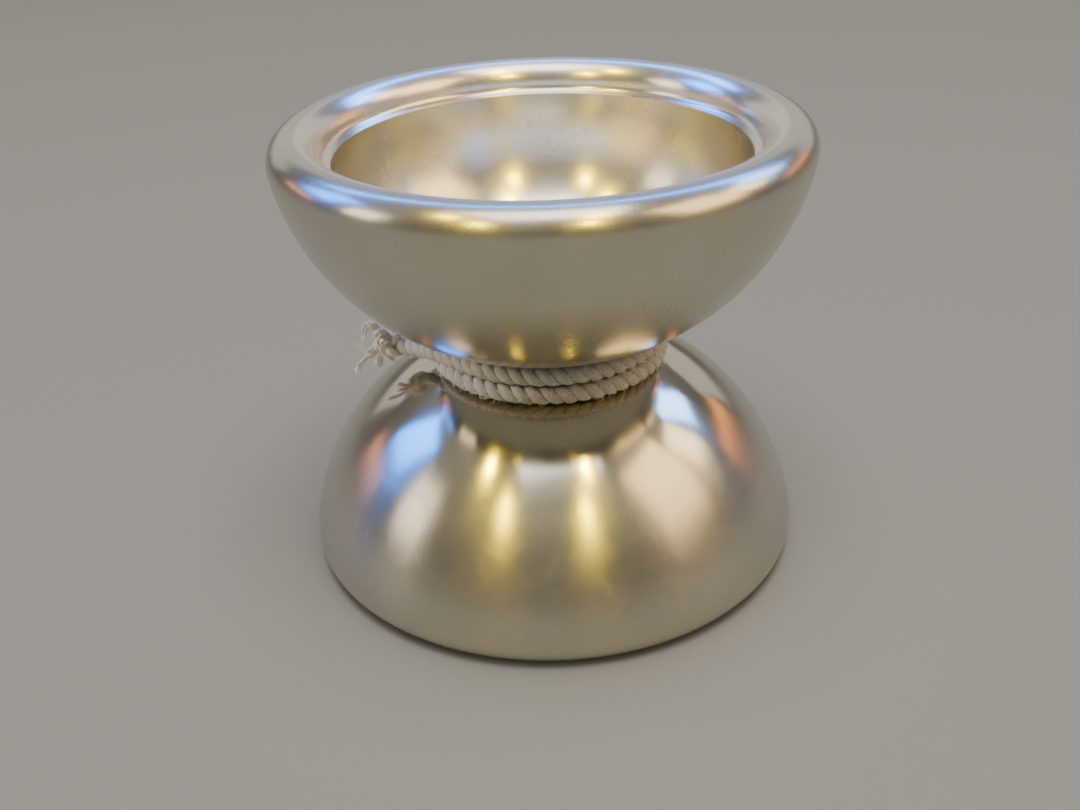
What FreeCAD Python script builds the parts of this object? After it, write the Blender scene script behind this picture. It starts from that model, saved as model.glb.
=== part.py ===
import FreeCAD, Part
import math
import os

# Yo-yo standing on one rim: two turned aluminium cups screwed together through a
# ball bearing, with a cotton string wound in the gap. Millimetres, +Z up along the
# spin axis, z = 0 on the surface that the lower rim stands on.

V = FreeCAD.Vector
SPIN_AXIS = V(0, 0, 1)

# Driving dimensions of the whole toy
DIAMETER = 55.0
WIDTH = 48.0
GAP = 4.4

# Cup outline, with h measured from the middle of the gap towards a rim
RIM_WALL = 5.2
RIM_LAND = 0.5
GAP_FLAT_RADIUS = 10.8
GAP_BLEND_RADIUS = 7.0
DOME_START_ANGLE = 26.0
DOME_START_HANDLE = 13.0
DOME_END_HANDLE = 1.6
LEDGE_DROP = 0.9
LEDGE_RADIUS = 21.3
BOWL_WALL_POLE = (24.3, 14.8)
BOWL_BEND_POLE = (21.7, 6.5)
BOWL_FLOOR = (12.2, 4.9)
HUB_APPROACH_POLE = (9.0, 4.55)
HUB_FOOT_POLE = (5.2, 4.9)
HUB_RADIUS = 4.2
HUB_HEIGHT = 10.4
HUB_FILLET = 0.8

# Ball bearing, 6.35 x 12.7 x 4.76
BEARING_BORE_RADIUS = 3.175
BEARING_OUTER_RADIUS = 6.35
BEARING_WIDTH = 4.76
INNER_RACE_RADIUS = 4.25
OUTER_RACE_RADIUS = 5.28
BALL_COUNT = 10
BALL_RADIUS = 0.794
BALL_GROOVE_CLEARANCE = 0.02
BALL_PITCH_RADIUS = (BEARING_BORE_RADIUS + BEARING_OUTER_RADIUS) / 2
CAGE_INNER_RADIUS = 4.45
CAGE_OUTER_RADIUS = 5.08
CAGE_BOTTOM = -1.3
CAGE_TOP = 0.5
CAGE_POCKET_CLEARANCE = 0.05
SHIELD_INNER_RADIUS = 4.42
SHIELD_SEAT_RADIUS = 5.7
SHIELD_THICKNESS = 0.15
SNAP_RING_THICKNESS = 0.22
SNAP_RING_WIDTH = 0.35
SNAP_RING_OPENING = 24.0

# Bearing seat, threaded bore and axle
SEAT_CLEARANCE = 0.015
POST_TIP = 0.3
SHOULDER_RADIUS = 4.1
RECESS_RADIUS = 6.6
RECESS_DEPTH = 0.6
THREAD_START = 2.4
THREAD_END = 8.6
THREAD_CLEARANCE = 0.05
RELIEF_CLEARANCE = 0.25
AXLE_RADIUS = 1.97
AXLE_LENGTH = 16.0
AXLE_CHAMFER = 0.35
HEX_ACROSS_FLATS = 2.0
HEX_DEPTH = 2.6

# Response pads
PAD_INNER_RADIUS = 7.1
PAD_OUTER_RADIUS = 9.7
PAD_THICKNESS = 1.2
PAD_BELOW_GAP_WALL = 0.05
PAD_CHAMFER = 0.15

# String
STRING_DIAMETER = 1.9
WINDING_RADIUS = 13.15
WINDING_HALF_HEIGHT = 2.1
WINDING_EDGE_RADIUS = 0.95
TAIL_ROUTE = [
    (-9.3, -7.8, 24.9),
    (-11.5, -5.3, 24.6),
    (-13.5, -2.7, 23.9),
    (-15.1, -0.8, 23.2),
    (-16.7, 0.3, 22.9),
]
KNOT_CENTRE = (-17.2, 0.5, 22.9)
KNOT_RADIUS = 1.45
FRAYED_CENTRE = (-18.9, 0.6, 22.9)
FRAYED_HALF_SIZE = (2.1, 1.7, 2.6)

RADIUS = DIAMETER / 2
MIDDLE = WIDTH / 2
HALF_GAP = GAP / 2
BEARING_HALF_WIDTH = BEARING_WIDTH / 2


def point(radius, height):
    """Point of a turned outline, in the XZ plane."""
    return V(radius, 0, height)


def line(start, end):
    return Part.LineSegment(start, end).toShape()


def arc(centre, radius, start_angle, end_angle):
    """Arc in the XZ plane, angles in degrees from +X towards +Z."""
    spots = []
    for angle in (start_angle, (start_angle + end_angle) / 2, end_angle):
        turn = math.radians(angle)
        spots.append(centre + V(radius * math.cos(turn), 0, radius * math.sin(turn)))
    return Part.Arc(*spots).toShape()


def bezier(*poles):
    curve = Part.BezierCurve()
    curve.setPoles(list(poles))
    return curve.toShape()


def ends(edge):
    return edge.valueAt(edge.FirstParameter), edge.valueAt(edge.LastParameter)


def turned(edges, sweep=360.0):
    """Solid of revolution about the spin axis from a closed outline."""
    return Part.Face(Part.Wire(edges)).revolve(V(0, 0, 0), SPIN_AXIS, sweep)


def turned_polygon(corners, sweep=360.0):
    spots = [point(*corner) for corner in corners]
    edges = [line(a, b) for a, b in zip(spots, spots[1:] + spots[:1])]
    return turned(edges, sweep)


def ring(inner, outer, bottom, top):
    return turned_polygon([(inner, bottom), (outer, bottom), (outer, top), (inner, top)])


def chamfered_ring(inner, outer, bottom, top, chamfer):
    """Ring with its two upper edges chamfered."""
    return turned_polygon([
        (inner, bottom),
        (outer, bottom),
        (outer, top - chamfer),
        (outer - chamfer, top),
        (inner + chamfer, top),
        (inner, top - chamfer),
    ])


def placed_above(shape):
    """The shape on the upper side of the gap's middle plane."""
    return shape.translated(V(0, 0, MIDDLE))


def placed_below(shape):
    """The shape mirrored to the lower side of the gap's middle plane."""
    return shape.mirror(V(0, 0, 0), SPIN_AXIS).translated(V(0, 0, MIDDLE))


def outer_outline():
    """Gap wall, dome and rim, from the pad groove out to the rim's inner side."""
    blend_centre = point(GAP_FLAT_RADIUS, HALF_GAP + GAP_BLEND_RADIUS)
    blend = arc(blend_centre, GAP_BLEND_RADIUS, -90, -90 + DOME_START_ANGLE)
    dome_start = ends(blend)[1]
    slope = math.radians(DOME_START_ANGLE)
    rim_radius = (RIM_WALL - RIM_LAND) / 2
    rim_outer_centre = point(RADIUS - rim_radius, MIDDLE - rim_radius)
    rim_inner_centre = rim_outer_centre - V(RIM_LAND, 0, 0)
    dome_end = rim_outer_centre + V(rim_radius, 0, 0)
    dome = bezier(
        dome_start,
        dome_start + V(math.cos(slope), 0, math.sin(slope)) * DOME_START_HANDLE,
        dome_end - V(0, 0, DOME_END_HANDLE),
        dome_end,
    )
    rim_outside = arc(rim_outer_centre, rim_radius, 0, 90)
    land = line(rim_outer_centre + V(0, 0, rim_radius), rim_inner_centre + V(0, 0, rim_radius))
    rim_inside = arc(rim_inner_centre, rim_radius, 90, 180)
    wall = line(point(PAD_OUTER_RADIUS, HALF_GAP), ends(blend)[0])
    return [wall, blend, dome, rim_outside, land, rim_inside]


def bowl_outline(rim_inside_end):
    """Ledge under the rim, bowl and hub, from the rim in to the spin axis."""
    ledge = point(LEDGE_RADIUS, rim_inside_end.z - LEDGE_DROP)
    step = bezier(rim_inside_end, point(rim_inside_end.x, ledge.z + 0.1), ledge)
    floor = point(*BOWL_FLOOR)
    bowl = bezier(ledge, point(*BOWL_WALL_POLE), point(*BOWL_BEND_POLE), floor)
    hub_side = point(HUB_RADIUS, HUB_HEIGHT - HUB_FILLET)
    rise = bezier(floor, point(*HUB_APPROACH_POLE), point(*HUB_FOOT_POLE), hub_side)
    hub_edge = arc(point(HUB_RADIUS - HUB_FILLET, hub_side.z), HUB_FILLET, 0, 90)
    hub_top = line(ends(hub_edge)[1], point(0, HUB_HEIGHT))
    return [step, bowl, rise, hub_edge, hub_top]


def seat_outline():
    """Blind threaded bore, bearing post, recess and pad groove, out to the gap wall."""
    bore = AXLE_RADIUS + THREAD_CLEARANCE
    relief = AXLE_RADIUS + RELIEF_CLEARANCE
    post = BEARING_BORE_RADIUS - SEAT_CLEARANCE
    recess_floor = HALF_GAP + RECESS_DEPTH
    groove_floor = HALF_GAP + PAD_BELOW_GAP_WALL + PAD_THICKNESS
    corners = [
        (0, HUB_HEIGHT),
        (0, THREAD_END),
        (bore, THREAD_END),
        (bore, THREAD_START),
        (relief, THREAD_START),
        (relief, POST_TIP),
        (post, POST_TIP),
        (post, BEARING_HALF_WIDTH),
        (SHOULDER_RADIUS, BEARING_HALF_WIDTH),
        (SHOULDER_RADIUS, recess_floor),
        (RECESS_RADIUS, recess_floor),
        (RECESS_RADIUS, HALF_GAP),
        (PAD_INNER_RADIUS, HALF_GAP),
        (PAD_INNER_RADIUS, groove_floor),
        (PAD_OUTER_RADIUS, groove_floor),
        (PAD_OUTER_RADIUS, HALF_GAP),
    ]
    spots = [point(*corner) for corner in corners]
    return [line(a, b) for a, b in zip(spots, spots[1:])]


def half_shell():
    """One aluminium cup, opening towards +Z, with the gap's middle plane at z = 0."""
    outer = outer_outline()
    bowl = bowl_outline(ends(outer[-1])[1])
    return turned(outer + bowl + seat_outline())


def response_pad():
    """Silicone ring in the gap wall's groove, chamfered where it meets the string."""
    mouth = HALF_GAP + PAD_BELOW_GAP_WALL
    pad = chamfered_ring(PAD_INNER_RADIUS, PAD_OUTER_RADIUS, -mouth - PAD_THICKNESS, -mouth, PAD_CHAMFER)
    return pad.mirror(V(0, 0, 0), SPIN_AXIS)


def axle():
    """Headless set screw with a hexagon socket in its upper end."""
    half = AXLE_LENGTH / 2
    tip = AXLE_RADIUS - AXLE_CHAMFER
    rod = turned_polygon([
        (0, -half),
        (tip, -half),
        (AXLE_RADIUS, -half + AXLE_CHAMFER),
        (AXLE_RADIUS, half - AXLE_CHAMFER),
        (tip, half),
        (0, half),
    ])
    corner_radius = HEX_ACROSS_FLATS / math.sqrt(3)
    corners = []
    for index in range(7):
        turn = math.radians(60 * index)
        corners.append(V(corner_radius * math.cos(turn), corner_radius * math.sin(turn), half - HEX_DEPTH))
    socket = Part.Face(Part.makePolygon(corners)).extrude(V(0, 0, HEX_DEPTH + 1))
    return placed_above(rod.cut(socket))


def ball_groove():
    return Part.makeTorus(BALL_PITCH_RADIUS, BALL_RADIUS + BALL_GROOVE_CLEARANCE)


def inner_race():
    race = ring(BEARING_BORE_RADIUS, INNER_RACE_RADIUS, -BEARING_HALF_WIDTH, BEARING_HALF_WIDTH)
    return placed_above(race.cut(ball_groove()))


def outer_race():
    """Outer race with a step at each side that seats a shield and its snap ring."""
    seat = BEARING_HALF_WIDTH - SHIELD_THICKNESS - SNAP_RING_THICKNESS
    race = turned_polygon([
        (OUTER_RACE_RADIUS, -seat),
        (SHIELD_SEAT_RADIUS, -seat),
        (SHIELD_SEAT_RADIUS, -BEARING_HALF_WIDTH),
        (BEARING_OUTER_RADIUS, -BEARING_HALF_WIDTH),
        (BEARING_OUTER_RADIUS, BEARING_HALF_WIDTH),
        (SHIELD_SEAT_RADIUS, BEARING_HALF_WIDTH),
        (SHIELD_SEAT_RADIUS, seat),
        (OUTER_RACE_RADIUS, seat),
    ])
    return placed_above(race.cut(ball_groove()))


def ball_centre(index):
    turn = math.radians(360.0 * index / BALL_COUNT)
    return V(BALL_PITCH_RADIUS * math.cos(turn), BALL_PITCH_RADIUS * math.sin(turn), 0)


def ball(index):
    return placed_above(Part.makeSphere(BALL_RADIUS, ball_centre(index)))


def cage():
    """Crown cage: a ring with a snap-in pocket for each ball, open at the top."""
    crown = ring(CAGE_INNER_RADIUS, CAGE_OUTER_RADIUS, CAGE_BOTTOM, CAGE_TOP)
    for index in range(BALL_COUNT):
        crown = crown.cut(Part.makeSphere(BALL_RADIUS + CAGE_POCKET_CLEARANCE, ball_centre(index)))
    return placed_above(crown)


def shield():
    bottom = BEARING_HALF_WIDTH - SNAP_RING_THICKNESS - SHIELD_THICKNESS
    return ring(SHIELD_INNER_RADIUS, SHIELD_SEAT_RADIUS, bottom, bottom + SHIELD_THICKNESS)


def snap_ring():
    """Open ring that holds a shield in the outer race."""
    bottom = BEARING_HALF_WIDTH - SNAP_RING_THICKNESS
    inner = SHIELD_SEAT_RADIUS - SNAP_RING_WIDTH
    corners = [
        (inner, bottom),
        (SHIELD_SEAT_RADIUS, bottom),
        (SHIELD_SEAT_RADIUS, BEARING_HALF_WIDTH),
        (inner, BEARING_HALF_WIDTH),
    ]
    return turned_polygon(corners, 360 - SNAP_RING_OPENING)


def string_winding():
    """Outer shape of the turns of string wound on the bearing."""
    top = WINDING_HALF_HEIGHT
    rounding = WINDING_EDGE_RADIUS
    flat_end = WINDING_RADIUS - rounding
    upper = arc(point(flat_end, top - rounding), rounding, 90, 0)
    lower = arc(point(flat_end, rounding - top), rounding, 0, -90)
    outline = [
        line(point(BEARING_OUTER_RADIUS, -top), point(BEARING_OUTER_RADIUS, top)),
        line(point(BEARING_OUTER_RADIUS, top), point(flat_end, top)),
        upper,
        line(ends(upper)[1], ends(lower)[0]),
        lower,
        line(ends(lower)[1], point(BEARING_OUTER_RADIUS, -top)),
    ]
    return placed_above(turned(outline))


def rounded_path(route):
    """Straight runs joined by tangent arcs, as large as the two runs allow."""
    spots = [V(*place) for place in route]
    edges = []
    start = spots[0]
    for before, corner, after in zip(spots, spots[1:], spots[2:]):
        arrive = (corner - before).normalize()
        leave = (after - corner).normalize()
        half_turn = arrive.getAngle(leave) / 2
        setback = 0.45 * min((corner - before).Length, (after - corner).Length)
        radius = setback / math.tan(half_turn)
        print("tail bend radius %.1f mm" % radius)
        inward = (leave - arrive).normalize()
        middle = corner + inward * (radius / math.cos(half_turn) - radius)
        arc_start = corner - arrive * setback
        arc_end = corner + leave * setback
        edges.append(line(start, arc_start))
        edges.append(Part.Arc(arc_start, middle, arc_end).toShape())
        start = arc_end
    edges.append(line(start, spots[-1]))
    return Part.Wire(edges)


def string_tail():
    """Free end of the string, leaving the winding at a tangent."""
    path = rounded_path(TAIL_ROUTE)
    radius = STRING_DIAMETER / 2
    heading = V(*TAIL_ROUTE[1]) - V(*TAIL_ROUTE[0])
    section = Part.Wire(Part.makeCircle(radius, V(*TAIL_ROUTE[0]), heading))
    tube = path.makePipeShell([section], True, False)
    print("tail volume %.2f mm3, section times length %.2f" % (tube.Volume, math.pi * radius ** 2 * path.Length))
    return tube


def string_knot():
    return Part.makeSphere(KNOT_RADIUS, V(*KNOT_CENTRE))


def string_frayed_end():
    """Outer shape of the loose fibres past the knot."""
    squash = FreeCAD.Matrix()
    squash.scale(V(*FRAYED_HALF_SIZE))
    return Part.makeSphere(1.0).transformGeometry(squash).translated(V(*FRAYED_CENTRE))


def build():
    """Every piece by its node name."""
    shell = half_shell()
    pad = response_pad()
    pieces = {
        "lower_half": placed_below(shell),
        "upper_half": placed_above(shell),
        "response_pad_lower": placed_below(pad),
        "response_pad_upper": placed_above(pad),
        "axle_set_screw": axle(),
        "bearing_inner_race": inner_race(),
        "bearing_outer_race": outer_race(),
        "bearing_cage": cage(),
        "bearing_shield_lower": placed_below(shield()),
        "bearing_shield_upper": placed_above(shield()),
        "bearing_snap_ring_lower": placed_below(snap_ring()),
        "bearing_snap_ring_upper": placed_above(snap_ring()),
        "string_winding": string_winding(),
        "string_tail": string_tail(),
        "string_knot": string_knot(),
        "string_frayed_end": string_frayed_end(),
    }
    for index in range(BALL_COUNT):
        pieces["bearing_ball_%02d" % (index + 1)] = ball(index)
    return pieces


os.makedirs("parts", exist_ok=True)
for name, shape in build().items():
    shape.exportStep("parts/%s.step" % name)
    print("%-26s valid %s  volume %9.3f mm3" % (name, shape.isValid(), shape.Volume))
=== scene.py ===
"""A turned aluminium yo-yo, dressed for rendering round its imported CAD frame.

Two bead-blasted cups are screwed together through a ball bearing. Cotton string is wound in
the gap, and its knotted, frayed end sticks out on the left. Metres, +Z up along the spin
axis, z = 0 on the surface that the lower rim stands on.
"""

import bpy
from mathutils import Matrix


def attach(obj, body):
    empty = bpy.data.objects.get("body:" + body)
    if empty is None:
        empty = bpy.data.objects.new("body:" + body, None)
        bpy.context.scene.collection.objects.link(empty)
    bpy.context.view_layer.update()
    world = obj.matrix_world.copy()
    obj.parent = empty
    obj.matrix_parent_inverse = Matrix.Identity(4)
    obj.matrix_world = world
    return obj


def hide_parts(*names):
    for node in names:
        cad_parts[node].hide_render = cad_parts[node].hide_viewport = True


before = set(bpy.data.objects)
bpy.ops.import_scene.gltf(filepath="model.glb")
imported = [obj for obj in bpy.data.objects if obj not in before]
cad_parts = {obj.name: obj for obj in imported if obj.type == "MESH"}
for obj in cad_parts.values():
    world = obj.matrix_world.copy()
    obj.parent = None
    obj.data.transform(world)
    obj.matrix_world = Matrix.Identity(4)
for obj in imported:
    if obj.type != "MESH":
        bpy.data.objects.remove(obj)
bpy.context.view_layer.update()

import logging
import math
from dataclasses import dataclass, field
from enum import Enum

import bmesh
import bpy
import numpy as np
from mathutils import Matrix, Vector

LOG = logging.getLogger("yo_yo")
MM = 0.001
MIDDLE = 24.0  # height of the gap's middle plane, mm
FULL_TURN = 2 * math.pi
LATHE_SEGMENTS = 320
SMALL_SEGMENTS = 128
CREASE = math.radians(28)
THREAD_CREASE = math.radians(24)
RIPPLE_MM = 10 / 9  # waves of the frayed fibres
MADE: dict[str, bpy.types.Material] = {}  # the finishes built so far, by name
Place = tuple[float, float, float]  # x, y and z


class Side(Enum):
    """Which cup a piece belongs to, with the sign of its direction from the gap."""

    LOWER = -1
    UPPER = 1

    def height(self, offset: float) -> float:
        """Height in mm of a place that far from the gap's middle plane."""
        return MIDDLE + self.value * offset


class Body(Enum):
    """The CAD bodies that pieces ride on."""

    LOWER = "lower_half"
    UPPER = "upper_half"
    AXLE = "axle"
    OUTER_RACE = "bearing_outer"


# ------------------------------------------------------------------ small tools


def linear(code: str) -> tuple[float, float, float, float]:
    """Turns an sRGB hex colour to linear.

    Args:
        code: The colour as #RRGGBB.

    Returns:
        Linear red, green, blue and an alpha of 1.
    """
    parts = [int(code[i : i + 2], 16) / 255 for i in (1, 3, 5)]
    r, g, b = (c / 12.92 if c <= 0.04045 else ((c + 0.055) / 1.055) ** 2.4 for c in parts)
    return (r, g, b, 1.0)


def feed(tree: bpy.types.NodeTree, node: bpy.types.Node, inputs: dict) -> None:
    """Sets and links a node's inputs.

    Args:
        tree: The tree that holds the node.
        node: The node.
        inputs: Socket name or index to a value, to the output socket that feeds it, or to the
            node whose first output does.
    """
    for key, value in inputs.items():
        if isinstance(value, bpy.types.Node):
            value = value.outputs[0]
        if isinstance(value, bpy.types.NodeSocket):
            tree.links.new(value, node.inputs[key])
        else:
            node.inputs[key].default_value = value


def add_node(tree: bpy.types.NodeTree, kind: str, inputs: dict | None = None, **settings) -> bpy.types.Node:
    """Adds a node with its settings and links.

    Args:
        tree: The tree that gets the node.
        kind: The node's type name.
        inputs: Its inputs, as feed takes them.
        **settings: Attributes of the node, set before its sockets.

    Returns:
        The new node.
    """
    node = tree.nodes.new(kind)
    for name, value in settings.items():
        setattr(node, name, value)
    feed(tree, node, inputs or {})
    return node


def maths(tree: bpy.types.NodeTree, operation: str, *values) -> bpy.types.Node:
    """Adds one operation on numbers."""
    return add_node(tree, "ShaderNodeMath", dict(enumerate(values)), operation=operation)


def vectors(tree: bpy.types.NodeTree, operation: str, *values, **more) -> bpy.types.Node:
    """Adds one operation on vectors."""
    return add_node(tree, "ShaderNodeVectorMath", {**dict(enumerate(values)), **more}, operation=operation)


def spread(tree: bpy.types.NodeTree, value, low: float, high: float, to_low: float = 0.0, to_high: float = 1.0,
           **settings) -> bpy.types.Node:
    """Spreads a value from the range low to high over the range to_low to to_high."""
    return add_node(tree, "ShaderNodeMapRange", {0: value, 1: low, 2: high, 3: to_low, 4: to_high}, **settings)


def blend(tree: bpy.types.NodeTree, share, first, second) -> bpy.types.NodeSocket:
    """Blends two colours, each a socket or an sRGB hex code."""
    first, second = (linear(tone) if isinstance(tone, str) else tone for tone in (first, second))
    return add_node(tree, "ShaderNodeMix", {0: share, 6: first, 7: second}, data_type="RGBA").outputs[2]


def noise(tree: bpy.types.NodeTree, place, size_mm: float, **more) -> bpy.types.Node:
    """Adds noise with patches of about that size."""
    return add_node(tree, "ShaderNodeTexNoise", {"Vector": place, "Scale": 1 / (size_mm * MM), **more})


def bump(tree: bpy.types.NodeTree, height, distance: float, strength, **more) -> bpy.types.Node:
    """Adds a bump of that distance in metres."""
    return add_node(tree, "ShaderNodeBump", {"Strength": strength, "Distance": distance, "Height": height, **more})


def around_axis(tree: bpy.types.NodeTree, place) -> tuple[bpy.types.Node, bpy.types.Node, bpy.types.NodeSocket]:
    """Splits a place into its axes, its part square to the spin axis, and its radius."""
    axes = add_node(tree, "ShaderNodeSeparateXYZ", {0: place})
    flat = add_node(tree, "ShaderNodeCombineXYZ", {0: axes, 1: axes.outputs[1]})
    return axes, flat, vectors(tree, "LENGTH", flat).outputs["Value"]


def new_piece(name: str, mesh: bpy.types.Mesh, material: bpy.types.Material | None = None) -> bpy.types.Object:
    """Puts a mesh in the scene under the piece's name.

    Args:
        name: The piece's name.
        mesh: Its mesh, already in place.
        material: Its material, where the mesh has none yet.

    Returns:
        The object, at the origin.
    """
    mesh.name = name
    if material is not None:
        mesh.materials.clear()
        mesh.materials.append(material)
    piece = bpy.data.objects.new(name, mesh)
    bpy.context.scene.collection.objects.link(piece)
    return piece


def run_tree(source: bpy.types.Object, tree: bpy.types.NodeTree, values: dict[str, object]) -> bpy.types.Mesh:
    """Runs a geometry tree on an object and gives the result as a plain mesh.

    Args:
        source: The object that the tree starts from.
        tree: The geometry tree.
        values: Input name to value.

    Returns:
        The realised mesh. The modifier is gone from the source.
    """
    modifier = source.modifiers.new(tree.name, "NODES")
    modifier.node_group = tree
    for item in tree.interface.items_tree:
        if item.item_type == "SOCKET" and item.in_out == "INPUT" and item.name in values:
            modifier[item.identifier] = values[item.name]
    graph = bpy.context.evaluated_depsgraph_get()
    mesh = bpy.data.meshes.new_from_object(
        source.evaluated_get(graph), preserve_all_data_layers=True, depsgraph=graph
    )
    source.modifiers.remove(modifier)
    return mesh


def faced_outwards(mesh: bpy.types.Mesh, crease: float = CREASE) -> bpy.types.Mesh:
    """Closes small gaps, turns the faces outwards and keeps edges sharper than crease."""
    shape = bmesh.new()
    shape.from_mesh(mesh)
    bmesh.ops.remove_doubles(shape, verts=shape.verts, dist=1e-8)
    bmesh.ops.recalc_face_normals(shape, faces=shape.faces)
    for face in shape.faces:
        face.smooth = True
    shape.to_mesh(mesh)
    shape.free()
    mesh.set_sharp_from_angle(angle=crease)
    return mesh


def dress(node: str, material: bpy.types.Material) -> None:
    """Gives a CAD node a finished material in its own material slots."""
    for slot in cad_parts[node].material_slots:
        slot.material = material
    LOG.info("dressed %s in %s", node, material.name)


def install(piece: bpy.types.Object, body: Body, finish: "Finish", *nodes: str) -> None:
    """Puts a finished piece on its body.

    Args:
        piece: The piece, at the origin.
        body: The body that it rides on.
        finish: The finish whose slot of the record it belongs to. It is not used.
        *nodes: The CAD nodes that it replaces.
    """
    LOG.info("%s: %d faces", piece.name, len(piece.data.polygons))
    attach(piece, body.value)
    if nodes:
        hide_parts(*nodes)
    finish.slot


# ------------------------------------------------------------------ finishes


def blank_material(
    name: str,
) -> tuple[bpy.types.Material, bpy.types.NodeTree, bpy.types.Node, bpy.types.Node]:
    """Starts a material with an output and a Principled shader.

    Args:
        name: The material's name.

    Returns:
        The material, its tree, its shader and its texture coordinates.
    """
    material = bpy.data.materials.new(name)
    material.use_nodes = True
    tree = material.node_tree
    tree.nodes.clear()
    shader = add_node(tree, "ShaderNodeBsdfPrincipled")
    add_node(tree, "ShaderNodeOutputMaterial", {"Surface": shader})
    return material, tree, shader, add_node(tree, "ShaderNodeTexCoord")


@dataclass(frozen=True)
class BlastedAluminium:
    """Turned aluminium alloy, bead blasted and clear anodised.

    The lathe leaves fine rings, the glass beads lay a soft even grain over them, and the
    anodising gives the silver a faint champagne warmth. The blasted skin still mirrors broad
    shapes, so lamps show as soft spots full of sparkle.
    """

    name: str = "anodised_blasted_aluminium"
    slot: str = "bead_blasted_aluminium"
    pale: str = "#D2CEC0"
    warm: str = "#C3BEAC"
    grain_mm: float = 0.20  # bead dimples are finer, drawn this coarse so that they show
    ring_mm: float = 0.14  # feed of the finishing cut
    cloud_mm: float = 9.0
    handling_mm: float = 3.2
    wall_from_mm: float = 4.6  # the rings are left clear on the gap wall and fade by wall_to_mm
    wall_to_mm: float = 9.6
    bowl: str = "#ECE8DA"  # light bounced about inside the bowl keeps it pale
    roughness: float = 0.25
    wall_roughness: float = 0.12  # the beads hardly reach into the gap
    stretch: float = 0.78  # the rings spread a lamp's image out across themselves
    quarter_turn: float = 0.25
    ring_depth: float = 4e-6
    bead_depth: float = 3.2e-6

    def material(self) -> bpy.types.Material:
        """Builds the material."""
        material, tree, shader, coordinates = blank_material(self.name)
        place = coordinates.outputs["Object"]
        axes, flat, radius = around_axis(tree, place)
        outline = add_node(tree, "ShaderNodeCombineXYZ", {0: radius, 1: axes.outputs[2]})
        rings = noise(tree, outline, self.ring_mm, Detail=3.0, Roughness=0.6)
        grain = noise(tree, place, self.grain_mm, Detail=0.0)
        clouds = noise(tree, place, self.cloud_mm, Detail=4.0, Roughness=0.55)
        handling = noise(tree, place, self.handling_mm, Detail=5.0, Distortion=0.8)
        away = maths(tree, "ABSOLUTE", maths(tree, "SUBTRACT", axes.outputs[2], MIDDLE * MM))
        wall = (away, self.wall_from_mm * MM, self.wall_to_mm * MM)
        clear = spread(tree, *wall, 0.75, 0.05, interpolation_type="SMOOTHSTEP")
        beads = spread(tree, *wall, 0.1, 1.0)
        ringed = bump(tree, rings, self.ring_depth, clear)
        blasted = bump(tree, grain, self.bead_depth, beads, Normal=ringed)
        tone = blend(tree, clouds, self.pale, self.warm)
        outward = vectors(tree, "DOT_PRODUCT", coordinates.outputs["Normal"], flat).outputs["Value"]
        skin = blend(tree, spread(tree, outward, -4 * MM, 0.0, 1.0, 0.0), tone, self.bowl)
        satin = spread(tree, *wall, self.wall_roughness, self.roughness)
        rubbed = spread(tree, handling, 0.3, 0.7, -0.015, 0.03)
        round_axis = vectors(tree, "CROSS_PRODUCT", (0.0, 0.0, 1.0), flat)
        along_rings = add_node(
            tree, "ShaderNodeVectorTransform", {0: round_axis},
            vector_type="VECTOR", convert_from="OBJECT", convert_to="WORLD",
        )
        feed(tree, shader, {
            "Base Color": skin, "Roughness": maths(tree, "ADD", satin, rubbed), "Normal": blasted,
            "Tangent": along_rings, "Metallic": 1.0, "Anisotropic": self.stretch,
            "Anisotropic Rotation": self.quarter_turn,
        })
        return material


@dataclass(frozen=True)
class MachinedSteel:
    """Steel with the marks of its last cut or grind running round the spin axis."""

    name: str
    slot: str
    tone: str
    dark: str
    roughness: float
    mark_mm: float
    mark_depth_um: float
    smear_mm: float = 10 / 9

    def material(self) -> bpy.types.Material:
        """Builds the material."""
        material, tree, shader, coordinates = blank_material(self.name)
        place = coordinates.outputs["Object"]
        axes, _, radius = around_axis(tree, place)
        outline = add_node(tree, "ShaderNodeCombineXYZ", {0: radius, 1: axes.outputs[2]})
        marks = noise(tree, outline, self.mark_mm, Detail=3.0)
        smear = noise(tree, place, self.smear_mm, Detail=3.0)
        feed(tree, shader, {
            "Base Color": blend(tree, smear, self.tone, self.dark),
            "Roughness": spread(tree, marks, 0.3, 0.7, self.roughness * 0.85, self.roughness * 1.2),
            "Normal": bump(tree, marks, self.mark_depth_um * 1e-6, 0.5),
            "Metallic": 1.0,
        })
        return material


@dataclass(frozen=True)
class CastSilicone:
    """Translucent white silicone, cast flat, with lint and wear where the string grips it."""

    name: str = "cast_silicone"
    slot: str = "silicone_pad"
    clean: str = "#E3E6E6"
    worn: str = "#BDBBB4"
    grit_mm: float = 0.12
    wear_mm: float = 1.6
    bending: float = 1.41

    def material(self) -> bpy.types.Material:
        """Builds the material."""
        material, tree, shader, coordinates = blank_material(self.name)
        place = coordinates.outputs["Object"]
        wear = noise(tree, place, self.wear_mm, Detail=6.0)
        grit = noise(tree, place, self.grit_mm, Detail=2.0)
        feed(tree, shader, {
            "Base Color": blend(tree, spread(tree, wear, 0.42, 0.72), self.clean, self.worn),
            "Roughness": spread(tree, wear, 0.3, 0.7, 0.36, 0.55),
            "Normal": bump(tree, grit, 1.5e-5, 0.4),
            "IOR": self.bending, "Subsurface Weight": 0.25, "Subsurface Scale": 0.6 * MM,
        })
        return material


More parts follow.
